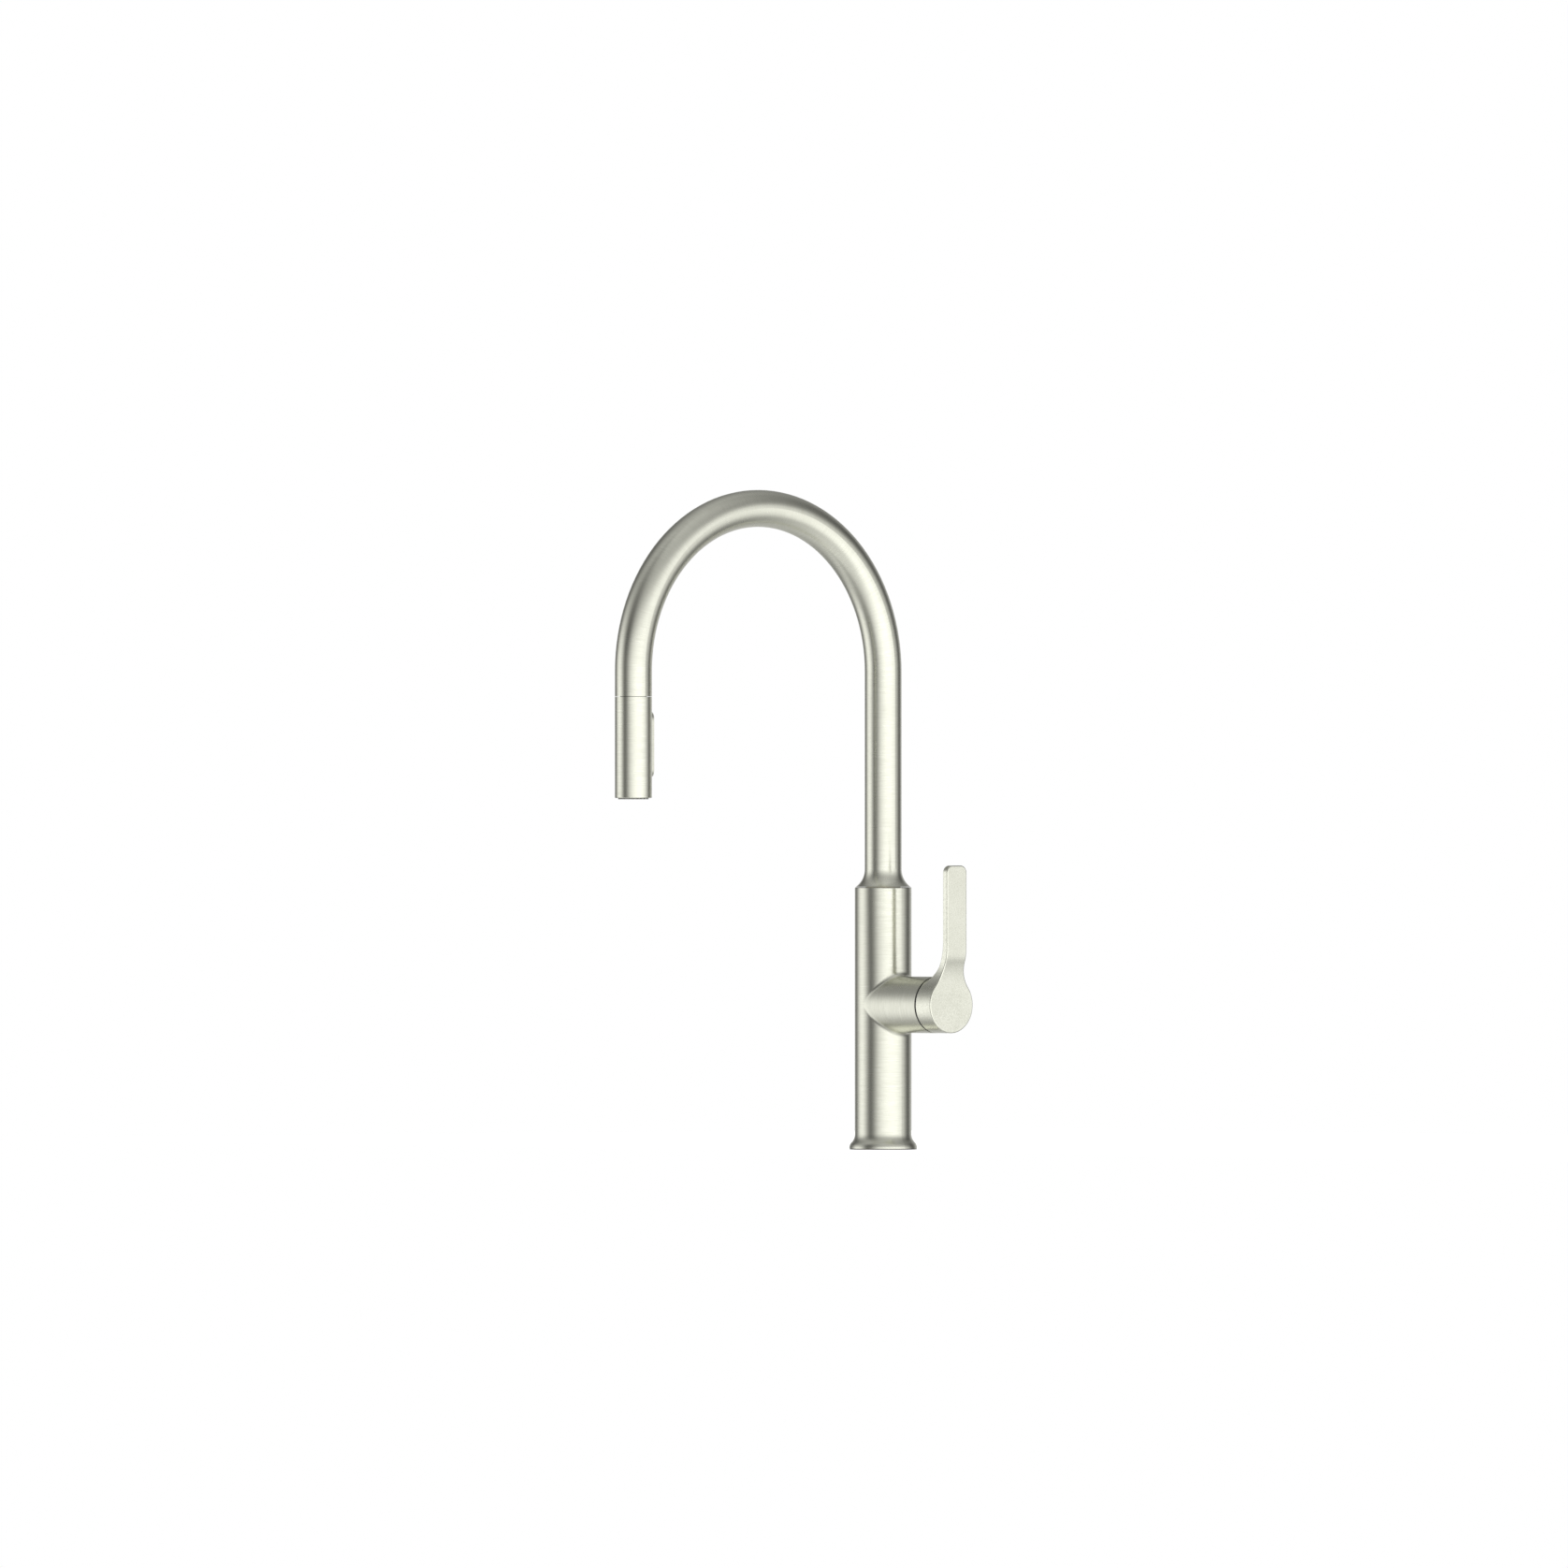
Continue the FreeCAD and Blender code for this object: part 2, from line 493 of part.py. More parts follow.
def make_stem():
    stem = turned_on_valve("cartridge_stem", [
        ("pivot_depth - lever_arm - ball_radius", "0", "ball_radius"),
        ("stem_end", "0"), ("stem_end", "stem_radius"),
        ("stem_step", "stem_radius"), ("stem_step", "stem_neck"),
        ("pivot_depth - lever_arm + sqrt(ball_radius ^ 2 - stem_neck ^ 2)", "stem_neck")])
    pin_hole = new_sketch(stem, "XZ_Plane")
    draw_circle(pin_hole, "pin_radius + fit_gap", "pivot_depth")
    extrude(stem, pin_hole, "4 * stem_radius", cut=True, both_ways=True)

    insert = turned_on_valve("handle_insert", [
        ("insert_start", "stem_radius"), ("stem_end + stem_gap", "stem_radius"),
        ("stem_end + stem_gap", "insert_radius"), ("insert_start", "insert_radius")])
    screw_hole = new_sketch(insert, "XY_Plane")
    draw_circle(screw_hole, "screw_radius", "screw_depth")
    extrude(insert, screw_hole, "insert_radius + 1", cut=True)

    turned("handle_screw", [
        ("0", "-stem_radius - screw_length + hex_depth"),
        ("hex_radius", "-stem_radius - screw_length + hex_depth"),
        ("hex_radius", "-stem_radius - screw_length"),
        ("screw_radius - fit_gap", "-stem_radius - screw_length"),
        ("screw_radius - fit_gap", "-stem_radius - screw_tip"),
        ("screw_radius - screw_tip", "-stem_radius"), ("0", "-stem_radius")], "screw_depth", z="valve_height")


def make_handle():
    """One lever: a hub on the valve axis, a waist, and a flat blade set further out by an S-bend."""
    lever = new_body("handle_lever", z="valve_height")
    join_depth = "blade_back - web_easing + sqrt(web_easing ^ 2 - (web_end - web_join) ^ 2)"
    side = new_sketch(lever)
    draw_outline(side, [
        ("hub_start", "0"), ("blade_face", "0"), ("blade_face", "blade_end + stock"),
        ("blade_back", "blade_end + stock"), ("blade_back", "web_end"),
        (join_depth, "web_join", "-web_easing"), ("web_start", "hub_radius", "-web_radius"),
        ("hub_start", "hub_radius")])
    revolve(lever, side, "H_Axis")

    # front outline: a round disc, two hollow flanks tangent to disc and blade, rounded blade corners
    flank = "((blade_half ^ 2 + waist_height ^ 2 - hub_radius ^ 2) / (2 * (hub_radius - blade_half)))"
    leave_side = "hub_radius * (blade_half + %s) / (hub_radius + %s)" % (flank, flank)
    leave_height = "hub_radius * waist_height / (hub_radius + %s)" % flank
    front = new_sketch(lever, "YZ_Plane", "blade_face")
    past = "blade_end + 2 * stock"
    draw_rectangle(front, "-1 * (%s)" % past, past, "-1 * (%s)" % past, past)
    draw_outline(front, [
        (leave_side, leave_height, "hub_radius"), ("blade_half", "waist_height", "-" + flank),
        ("blade_half", "blade_end - blade_corner"),
        ("blade_half - blade_corner", "blade_end", "blade_corner"),
        ("blade_corner - blade_half", "blade_end"),
        ("-1 * blade_half", "blade_end - blade_corner", "blade_corner"),
        ("-1 * blade_half", "waist_height"),
        ("-1 * " + leave_side, leave_height, "-" + flank), ("0", "-1 * hub_radius", "hub_radius")])
    extrude(lever, front, "blade_face", cut=True)

    # the S-bend of the face, from the disc out to the blade: a long hollow arc, then a shorter round one
    step, rise = "(blade_face - disc_face)", "(bend_end - bend_start)"
    radius_share = "(%s ^ 2 + %s ^ 2) / (2 * %s * %s)" % (step, rise, step, rise)
    turn_depth = "disc_face + %s * (bend_turn - bend_start) / %s" % (step, rise)
    bend = new_sketch(lever)
    draw_outline(bend, [
        ("disc_face", "-hub_radius - stock"), ("disc_face", "bend_start"),
        (turn_depth, "bend_turn", "-1 * (bend_turn - bend_start) * " + radius_share),
        ("blade_face", "bend_end", "(bend_end - bend_turn) * " + radius_share),
        ("blade_face + stock", "bend_end"),
        ("blade_face + stock", "-hub_radius - stock")])
    extrude(lever, bend, "3 * hub_radius", cut=True, both_ways=True)
    round_front_edges(lever)

    # round hollow over the dome, and the stem's socket
    hollow = new_sketch(lever)
    draw_outline(hollow, [
        ("hollow_start", "0"), ("stem_end + stem_gap", "0"), ("stem_end + stem_gap", "insert_radius"),
        (sphere_depth("cavity_radius", "insert_radius"), "insert_radius"),
        ("hollow_start", "sqrt(cavity_radius ^ 2 - (hollow_start - pivot_depth) ^ 2)", "cavity_radius")])
    revolve(lever, hollow, "H_Axis", cut=True)
    screw_hole = new_sketch(lever, "XY_Plane")
    draw_circle(screw_hole, "screw_radius", "screw_depth")
    extrude(lever, screw_hole, "hub_radius + 1", cut=True)


def round_front_edges(lever):
    """Rounds the edge between the lever's front and its sides."""
    doc.recompute()
    edges = []
    for number, edge in enumerate(lever.Shape.Edges, start=1):
        faces = [face for face in lever.Shape.Faces if any(edge.isSame(other) for other in face.Edges)]
        slopes = sorted(abs(face.normalAt(*middle_of(face)).x) for face in faces)
        depth = min(vertex.X for vertex in edge.Vertexes)
        if len(slopes) == 2 and slopes[0] < 0.001 and slopes[1] > 0.5 and depth > size("disc_face") - 0.01:
            edges.append("Edge%d" % number)
    fillet(lever, "edge_round", edges)


def middle_of(face):
    low_u, high_u, low_v, high_v = face.ParameterRange
    return (low_u + high_u) / 2, (low_v + high_v) / 2


# ---- neck, swivel and spout ----

def make_swivel():
    for place in ("lower", "upper"):
        turned("swivel_bush_" + place, ring("foot_radius + fit_gap", "body_bore",
                                            place + "_bush_bottom", place + "_bush_top"))

    stop = turned("swivel_stop", ring("foot_radius + stop_gap", "body_bore", "stop_height - stop_half_height",
                                      "stop_height + stop_half_height"))
    opening = new_sketch(stop, "XY_Plane", "stop_height - stop_half_height")
    side = "2 * body_bore * sin(stop_half_angle * 1 deg)"
    back = "-2 * body_bore * cos(stop_half_angle * 1 deg)"
    draw_outline(opening, [("0", "0"), ("-1 * " + side, back), ("-1 * " + side, "-2 * body_bore"),
                           (side, "-2 * body_bore"), (side, back)])
    extrude(stop, opening, "2 * stop_half_height", cut=True, backwards=True)

    foot = turned("spout_foot", [
        ("foot_bore", "foot_bottom"), ("foot_radius", "foot_bottom"),
        ("foot_radius", "clip_bottom"), ("foot_radius - clip_bite", "clip_bottom"),
        ("foot_radius - clip_bite", "clip_top"), ("foot_radius", "clip_top"),
        ("foot_radius", "neck_top"), ("spout_bore", "neck_top"), ("spout_bore", "foot_top"),
        ("foot_bore", "foot_top")])
    pin_hole = new_sketch(foot)
    draw_circle(pin_hole, "stop_pin_radius", y="stop_height")
    extrude(foot, pin_hole, "foot_radius + stop_gap", cut=True, backwards=True)

    pin = new_body("stop_pin")
    section = new_sketch(pin, "XZ_Plane", "stop_pin_start")
    draw_circle(section, "stop_pin_radius", y="stop_height")
    extrude(pin, section, "stop_pin_length")

    clip = turned("retaining_clip", ring("foot_radius - clip_bite", "clip_radius", "clip_bottom", "clip_top"))
    mouth = new_sketch(clip, "XY_Plane", "foot_bottom")
    draw_rectangle(mouth, "-clip_mouth", "clip_mouth", "0", "2 * clip_radius")
    extrude(clip, mouth, "lower_bush_bottom - foot_bottom", cut=True, backwards=True)

    turned("hose_guide", ring("guide_bore", "foot_bore", "foot_bottom", "guide_top"))


def make_spout():
    neck_radius = "((%s ^ 2 + %s ^ 2) / (2 * %s))" % (
        "(neck_radius - spout_radius)", "(neck_waist - neck_bottom)", "(neck_radius - spout_radius)")
    turned("neck_collar", [
        ("foot_radius", "neck_bottom"), ("neck_radius", "neck_bottom"),
        ("spout_radius", "neck_waist", "-" + neck_radius), ("spout_radius", "neck_top"),
        ("foot_radius", "neck_top")])
    sweep("spout_tube", "spout_radius", "spout_bore", "neck_top", "spout_end")
    turned("dock_collar", [
        ("dock_bore", "dock_bottom"), ("spout_bore", "dock_bottom"), ("spout_bore", "magnet_bottom"),
        ("dock_recess", "magnet_bottom"), ("dock_recess", "magnet_top"), ("spout_bore", "magnet_top"),
        ("spout_bore", "dock_top"), ("dock_bore", "dock_top")], y="-2 * arch_radius")
    turned("dock_magnet", ring("dock_recess", "spout_bore", "magnet_bottom", "magnet_top"),
           y="-2 * arch_radius")


def make_hose():
    hose = sweep("spray_hose", "hose_radius", "hose_bore", "hose_start", "hose_end")
    doc.recompute()
    length = 2 * size("arch_base") - size("hose_start") - size("hose_end") + math.pi * size("arch_radius")
    section = math.pi * (size("hose_radius") ** 2 - size("hose_bore") ** 2)
    print("hose: %.1f mm long, volume off by %.4f %%" % (
        length, 100 * (hose.Shape.Volume / (section * length) - 1)))


# ---- spray head ----

def on_head(label, corners):
    """A piece turned about the spray head's own axis."""
    return turned(label, corners, y="-2 * arch_radius")


def make_head_shell():
    shell = on_head("head_shell", [
        ("head_bore", "head_bottom"), ("head_radius - head_edge", "head_bottom"),
        ("head_radius", "head_bottom + head_edge", "head_edge"), ("head_radius", "head_top"),
        ("spigot_radius + free_gap", "head_top"), ("spigot_radius + free_gap", "head_top - head_roof"),
        ("head_bore", "head_top - head_roof")])
    window = new_sketch(shell)
    draw_slot(window, "(rocker_width + rocker_gap)", "(rocker_half + rocker_gap)", "rocker_height")
    extrude(shell, window, "head_radius + 1", cut=True)


def make_head_dock():
    under_roof = "head_top - head_roof - push_gap"
    on_head("head_spigot", [
        ("spigot_bore", "spigot_bottom"), ("head_bore - push_gap", "spigot_bottom"),
        ("head_bore - push_gap", under_roof), ("spigot_radius", under_roof),
        ("spigot_radius", "magnet_bottom"), ("magnet_inner", "magnet_bottom"),
        ("magnet_inner", "magnet_top"), ("spigot_radius", "magnet_top"),
        ("spigot_radius", "spigot_top - lead_length"), ("spigot_radius - lead_in", "spigot_top"),
        ("spigot_bore", "spigot_top")])
    on_head("head_magnet", ring("magnet_inner", "spigot_radius", "magnet_bottom", "magnet_top"))
    on_head("hose_ferrule", [
        ("ferrule_bore", "ferrule_bottom"), ("ferrule_flange", "ferrule_bottom"),
        ("ferrule_flange", "ferrule_step"), ("ferrule_radius", "ferrule_step"),
        ("ferrule_radius", "ferrule_top"), ("hose_radius + hose_gap", "ferrule_top"),
        ("hose_radius + hose_gap", "hose_end - free_gap"), ("hose_bore - free_gap", "hose_end - free_gap"),
        ("hose_bore - free_gap", "barb_top"), ("ferrule_bore", "barb_top")])
    on_head("hose_nut", [
        ("hose_nut_bore", "hose_nut_bottom"), ("hose_nut_radius", "hose_nut_bottom"),
        ("hose_nut_radius", "hose_nut_top"), ("ferrule_radius + push_gap", "hose_nut_top"),
        ("ferrule_radius + push_gap", "ferrule_step + push_gap"),
        ("hose_nut_bore", "ferrule_step + push_gap")])
    on_head("nut_washer", ring("washer_bore", "washer_radius", "washer_bottom", "ferrule_bottom"))


def make_waterway():
    collar = "head_bore - push_gap"
    body = on_head("head_waterway", [
        ("way_bore", "chamber_roof"), ("spray_chamber", "chamber_roof"), ("spray_chamber", "collar_bottom"),
        (collar, "collar_bottom"), (collar, "groove_bottom"), ("groove_radius", "groove_bottom"),
        ("groove_radius", "groove_top"), (collar, "groove_top"), (collar, "collar_top"),
        ("trunk_radius", "collar_top"), ("trunk_radius", "trunk_top"), ("nose_radius", "trunk_top"),
        ("nose_radius", "washer_bottom"), ("valve_pocket", "washer_bottom"),
        ("valve_pocket", "pocket_bottom"), ("way_bore", "pocket_bottom")])
    for side in (-1, 1):
        ear = new_sketch(body, "YZ_Plane", "%d * ear_offset - ear_width / 2" % side)
        draw_rectangle(ear, "ear_start", "ear_end", "rocker_height - ear_half", "rocker_height + ear_half")
        extrude(body, ear, "ear_width")
    pin_hole = new_sketch(body, "YZ_Plane")
    draw_circle(pin_hole, "rocker_pin", "rocker_pivot", "rocker_height")
    extrude(body, pin_hole, "2 * trunk_radius", cut=True, both_ways=True)
    clearance = new_sketch(body, "YZ_Plane")
    draw_rectangle(clearance, "boss_pocket", "trunk_radius + 1",
                   "rocker_height - pocket_half", "rocker_height + pocket_half")
    extrude(body, clearance, "pocket_width", cut=True, both_ways=True)
    valve_bore = new_sketch(body)
    draw_circle(valve_bore, "plunger_radius + fit_gap", y="rocker_height - plunger_drop")
    extrude(body, valve_bore, "head_bore", cut=True)

    pin = new_body("rocker_pin", y="-2 * arch_radius")
    section = new_sketch(pin, "YZ_Plane")
    draw_circle(section, "rocker_pin", "rocker_pivot", "rocker_height")
    extrude(pin, section, "2 * ear_offset + ear_width", both_ways=True)

    seal = doc.addObject("Part::Torus", "waterway_seal")
    seal.Label = "waterway_seal"
    seal.setExpression("Radius1", formula("head_bore - fit_gap - seal_cord"))
    seal.setExpression("Radius2", formula("seal_cord"))
    seal.setExpression("Placement.Base.y", formula("-2 * arch_radius"))
    seal.setExpression("Placement.Base.z", formula("(groove_bottom + groove_top) / 2"))
    subparts.append(seal)
    on_head("check_valve", [
        ("0", "check_bottom"), ("way_bore", "check_bottom"), ("check_radius", "check_shoulder"),
        ("check_radius", "check_top"), ("check_bore", "check_top"), ("check_bore", "check_floor"),
        ("0", "check_floor")])


def make_spray_face():
    plate = on_head("spray_plate", ring("aerator_radius + 2 * push_gap", "head_bore - 2 * push_gap",
                                         "plate_bottom", "plate_top"))
    face = on_head("spray_face", ring("aerator_radius + push_gap", "head_bore - push_gap",
                                      "face_bottom", "face_top"))
    mat = on_head("nozzle_mat", ring("aerator_radius + free_gap", "head_bore - free_gap",
                                     "face_top", "mat_top"))
    feeds = new_sketch(plate, "XY_Plane", "mat_top")
    holes = new_sketch(face, "XY_Plane", "face_bottom")
    nozzles = new_sketch(mat, "XY_Plane", "nozzle_tip")
    jets = new_sketch(mat, "XY_Plane", "nozzle_tip")
    for count, circle in NOZZLE_RINGS:
        for step in range(count):
            place = polar(str(circle), 360 * step / count)
            draw_circle(feeds, "feed_radius", *place)
            draw_circle(holes, "nozzle_radius + push_gap", *place)
            draw_circle(nozzles, "nozzle_radius", *place)
            draw_circle(jets, "jet_radius", *place)
    extrude(plate, feeds, "plate_top - mat_top + push_gap", cut=True, backwards=True)
    extrude(face, holes, "face_top - face_bottom + push_gap", cut=True, backwards=True)
    extrude(mat, nozzles, "mat_top - nozzle_tip")
    extrude(mat, jets, "mat_top - nozzle_tip + push_gap", cut=True, backwards=True)
    on_head("aerator", [
        ("0", "screen_bottom"), ("aerator_bore", "screen_bottom"), ("aerator_bore", "aerator_bottom"),
        ("aerator_radius", "aerator_bottom"), ("aerator_radius", "aerator_top"),
        ("aerator_bore", "aerator_top"), ("aerator_bore", "screen_top"), ("0", "screen_top")])


def make_rocker():
    """The spray switch: a curved strip that follows the head, and a boss on its pin."""
    rocker = new_body("rocker_button", y="-2 * arch_radius")
    outline = new_sketch(rocker)
    draw_slot(outline, "rocker_width", "rocker_half", "rocker_height")
    extrude(rocker, outline, "head_radius + stock", backwards=True)
    trim = new_sketch(rocker)
    draw_rectangle(trim, "0", "rocker_inner", "head_bottom", "head_top")
    draw_rectangle(trim, "rocker_outer", "rocker_outer + stock", "head_bottom", "head_top")
    revolve(rocker, trim, cut=True)
    boss = new_sketch(rocker, "YZ_Plane")
    draw_rectangle(boss, "rocker_pivot - boss_wall", "rocker_inner + rocker_gap",
                   "rocker_height - boss_half", "rocker_height + boss_half")
    extrude(rocker, boss, "boss_width", both_ways=True)
    pin_hole = new_sketch(rocker, "YZ_Plane")
    draw_circle(pin_hole, "rocker_pin + fit_gap", "rocker_pivot", "rocker_height")
    extrude(rocker, pin_hole, "2 * boss_width", cut=True, both_ways=True)

    plunger = new_body("diverter_plunger", y="-2 * arch_radius")
    for radius, near, far in (("plunger_radius", "plunger_start", "plunger_head"),
                              ("plunger_radius + plunger_rim", "plunger_head", "plunger_end")):
        section = new_sketch(plunger, "XZ_Plane", "-1 * %s" % near)
        draw_circle(section, radius, y="rocker_height - plunger_drop")
        extrude(plunger, section, "%s - %s" % (far, near), backwards=True)


# ---- build, check and write ----

make_body_shell()
make_base()
make_valve_core()
make_cartridge()
make_disc_slider()
make_rotor()
make_dome()
make_stem()
make_handle()
make_swivel()
make_spout()
make_hose()
make_head_shell()
make_head_dock()
make_waterway()
make_spray_face()
make_rocker()
doc.recompute()

faults = [item.Label for item in doc.Objects if {"Invalid", "Error"} & set(item.State)]
for part in subparts:
    if part.Shape.isNull() or not part.Shape.isValid():
        faults.append(part.Label + " (shape)")
if faults:
    raise SystemExit("not sound: " + ", ".join(faults))

os.makedirs("parts", exist_ok=True)
for part in subparts:
    part.Shape.exportStep("parts/%s.step" % part.Label)
    print("%-22s %2d solid(s) %10.1f mm3" % (part.Label, len(part.Shape.Solids), part.Shape.Volume))
print(len(subparts), "sub-parts written")
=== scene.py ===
import math

import bmesh
import bpy
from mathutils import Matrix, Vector


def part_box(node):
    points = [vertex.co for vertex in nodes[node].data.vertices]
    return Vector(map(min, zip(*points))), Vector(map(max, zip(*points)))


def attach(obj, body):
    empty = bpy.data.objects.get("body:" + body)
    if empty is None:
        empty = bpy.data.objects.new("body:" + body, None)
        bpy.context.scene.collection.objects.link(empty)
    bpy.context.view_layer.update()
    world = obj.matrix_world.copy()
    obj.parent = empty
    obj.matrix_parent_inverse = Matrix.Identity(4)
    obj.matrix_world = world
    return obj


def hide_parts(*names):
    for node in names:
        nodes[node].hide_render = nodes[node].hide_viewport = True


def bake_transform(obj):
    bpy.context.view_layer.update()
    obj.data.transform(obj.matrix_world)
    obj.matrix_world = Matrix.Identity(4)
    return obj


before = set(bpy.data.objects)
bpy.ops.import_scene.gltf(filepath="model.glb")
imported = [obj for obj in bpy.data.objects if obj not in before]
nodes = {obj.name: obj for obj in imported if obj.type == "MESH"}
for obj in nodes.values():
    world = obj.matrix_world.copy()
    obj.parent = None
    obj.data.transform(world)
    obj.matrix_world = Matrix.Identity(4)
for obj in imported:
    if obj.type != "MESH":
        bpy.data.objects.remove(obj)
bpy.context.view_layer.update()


# ---- measures taken from the frame, in metres ----

tube_low, tube_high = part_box("spout_tube")
hose_low, hose_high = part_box("spray_hose")
insert_low, insert_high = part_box("handle_insert")
neck_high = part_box("neck_collar")[1]
ferrule_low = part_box("hose_ferrule")[0]

TUBE_RADIUS = tube_high.x
ARCH_RADIUS = -(tube_low.y + TUBE_RADIUS) / 2
ARCH_BASE = tube_high.z - TUBE_RADIUS - ARCH_RADIUS
VALVE_HEIGHT = (insert_low.z + insert_high.z) / 2
NECK_RADIUS = neck_high.x
HEAD_Y = -2 * ARCH_RADIUS
HOSE_RADIUS = hose_high.x
HOSE_IN_FERRULE = 0.002
HOSE_END = ferrule_low.z + HOSE_IN_FERRULE


# ---- camera: level, towards the lever's side, far away ----

CAMERA_SIDE = math.radians(50)
VIEW_WIDTH = 1.0894
VIEW_CENTRE_HEIGHT = 0.2538
VIEW_CENTRE_SIDE = -0.0689
LENS = 700
SENSOR = 36
SEEN_BEYOND = 50


def make_camera():
    to_the_right = Vector((math.cos(CAMERA_SIDE), math.sin(CAMERA_SIDE), 0))
    into_the_view = Vector((-math.sin(CAMERA_SIDE), math.cos(CAMERA_SIDE), 0))
    distance = VIEW_WIDTH * LENS / SENSOR
    data = bpy.data.cameras.new("camera")
    data.lens = LENS
    data.sensor_width = SENSOR
    data.clip_end = distance + SEEN_BEYOND
    camera = bpy.data.objects.new("camera", data)
    camera.location = (to_the_right * VIEW_CENTRE_SIDE - into_the_view * distance
                       + Vector((0, 0, VIEW_CENTRE_HEIGHT)))
    camera.rotation_euler = into_the_view.to_track_quat("-Z", "Y").to_euler()
    bpy.context.scene.collection.objects.link(camera)
    bpy.context.scene.camera = camera


# ---- node graphs ----

class Graph:
    """Writes a node tree from top to bottom; a value may be a number or another node's output."""

    def __init__(self, tree):
        self.tree = tree

    def link(self, start, end):
        self.tree.links.new(start, end)

    def feed(self, socket, value):
        if isinstance(value, bpy.types.NodeSocket):
            self.link(value, socket)
        else:
            socket.default_value = value

    def add(self, kind, inputs=(), output=0, **settings):
        node = self.tree.nodes.new(kind)
        for name, value in settings.items():
            setattr(node, name, value)
        for name, value in dict(inputs).items():
            self.feed(node.inputs[name], value)
        return node.outputs[output]

    def math(self, operation, first, second=0.0):
        return self.add("ShaderNodeMath", {0: first, 1: second}, operation=operation)

    def length(self, first, second):
        """The length of a vector with two parts."""
        return self.math("SQRT", self.math("ADD", self.math("MULTIPLY", first, first),
                                           self.math("MULTIPLY", second, second)))

    def waves(self, value, pitch):
        return self.math("SINE", self.math("MULTIPLY", value, 2 * math.pi / pitch))

    def map(self, value, from_low, from_high, to_low, to_high):
        return self.add("ShaderNodeMapRange", {"Value": value, "From Min": from_low, "From Max": from_high,
                                               "To Min": to_low, "To Max": to_high})

    def mix(self, factor, first, second):
        """A colour between two."""
        return self.add("ShaderNodeMix", {"Factor": factor, 6: (*first, 1), 7: (*second, 1)}, output=2,
                        data_type="RGBA")

    def mix_vectors(self, factor, first, second):
        return self.add("ShaderNodeMix", {"Factor": factor, 4: first, 5: second}, output=1,
                        data_type="VECTOR")

    def noise(self, vector, scale, detail=2.0):
        return self.add("ShaderNodeTexNoise", {"Vector": vector, "Scale": scale, "Detail": detail})

    def combine(self, x, y, z):
        return self.add("ShaderNodeCombineXYZ", {0: x, 1: y, 2: z})

    def scaled(self, parts, scales):
        return self.combine(*(self.math("MULTIPLY", part, scale) for part, scale in zip(parts, scales)))

    def separate(self, vector):
        node = self.tree.nodes.new("ShaderNodeSeparateXYZ")
        self.link(vector, node.inputs[0])
        return node.outputs

    def curve(self, value, stops):
        """A smooth curve through (position, level) stops, with positions from 0 to 1."""
        node = self.tree.nodes.new("ShaderNodeValToRGB")
        node.color_ramp.interpolation = "CARDINAL"
        elements = node.color_ramp.elements
        while len(elements) < len(stops):
            elements.new(0.5)
        for element, (position, level) in zip(elements, stops):
            element.position = position
            element.color = (level, level, level, 1)
        self.link(value, node.inputs["Fac"])
        return node.outputs["Color"]


# ---- studio: soft panels round the faucet, seen as bright and dark bands in the metal ----

# a curve's stops stay at 1 or below, so the panels' own brightness multiplies them
PANEL_LIGHT = 1.64
# degrees round the faucet from the camera, positive to its right, and the panels' share of light there
PANELS = ((-180, 0.38), (-163, 0.30), (-146, 0.12), (-128, 0.24), (-110, 0.62), (-92, 0.71), (-76, 0.44),
          (-61, 0.13), (-48, 0.12), (-36, 0.27), (-23, 0.52), (-10, 0.70), (8, 0.86), (34, 0.94),
          (58, 0.88), (76, 0.70), (90, 0.47), (106, 0.19), (126, 0.08), (146, 0.30), (163, 0.38),
          (180, 0.38))
# degrees above the horizon, and the share of the panels' light left there
HEIGHTS = ((-90, 0.30), (-50, 0.28), (-42, 0.42), (-32, 0.75), (-20, 0.95), (-8, 1.0), (4, 0.96),
           (14, 0.70), (24, 0.42), (36, 0.22), (60, 0.16), (90, 0.20))
# degrees above the horizon, and the light that comes evenly from all round
FILL = ((-90, 0.50), (-50, 0.30), (-38, 0.14), (-22, 0.0), (20, 0.0), (32, 0.07), (48, 0.22), (90, 0.42))


def make_studio():
    world = bpy.data.worlds.new("studio")
    world.use_nodes = True
    bpy.context.scene.world = world
    graph = Graph(world.node_tree)
    x, y, z = graph.separate(graph.add("ShaderNodeTexCoord", output="Generated"))
    turn = graph.math("ARCTAN2", y, x)
    from_camera = graph.math("SUBTRACT", turn, CAMERA_SIDE - math.pi / 2)
    share = graph.math("FRACT", graph.math("ADD", graph.math("DIVIDE", from_camera, 2 * math.pi), 1.5))
    panels = graph.curve(share, [(angle / 360 + 0.5, level) for angle, level in PANELS])
    lift = graph.map(graph.math("ARCSINE", z), -math.pi / 2, math.pi / 2, 0, 1)
    heights = graph.curve(lift, [(angle / 180 + 0.5, level) for angle, level in HEIGHTS])
    fill = graph.curve(lift, [(angle / 180 + 0.5, level) for angle, level in FILL])
    light = graph.math("MULTIPLY", graph.math("MULTIPLY", panels, heights), PANEL_LIGHT)
    light = graph.math("ADD", light, fill)
    seen = graph.add("ShaderNodeLightPath", output="Is Camera Ray")
    strength = graph.add("ShaderNodeMix", {"Factor": seen, 2: light, 3: 1.0}, data_type="FLOAT")
    background = world.node_tree.nodes["Background"]
    background.inputs["Color"].default_value = (1, 1, 1, 1)
    graph.link(strength, background.inputs["Strength"])


FLOOR_HALF = 0.9
# the floor stops short of where a sink would be, so that the drawn-out head can pass below the deck
FLOOR_FRONT = -0.06
# just under the gasket, so that the two faces don't share a plane
FLOOR_HEIGHT = -0.0003
FLOOR_GLOW = 0.85


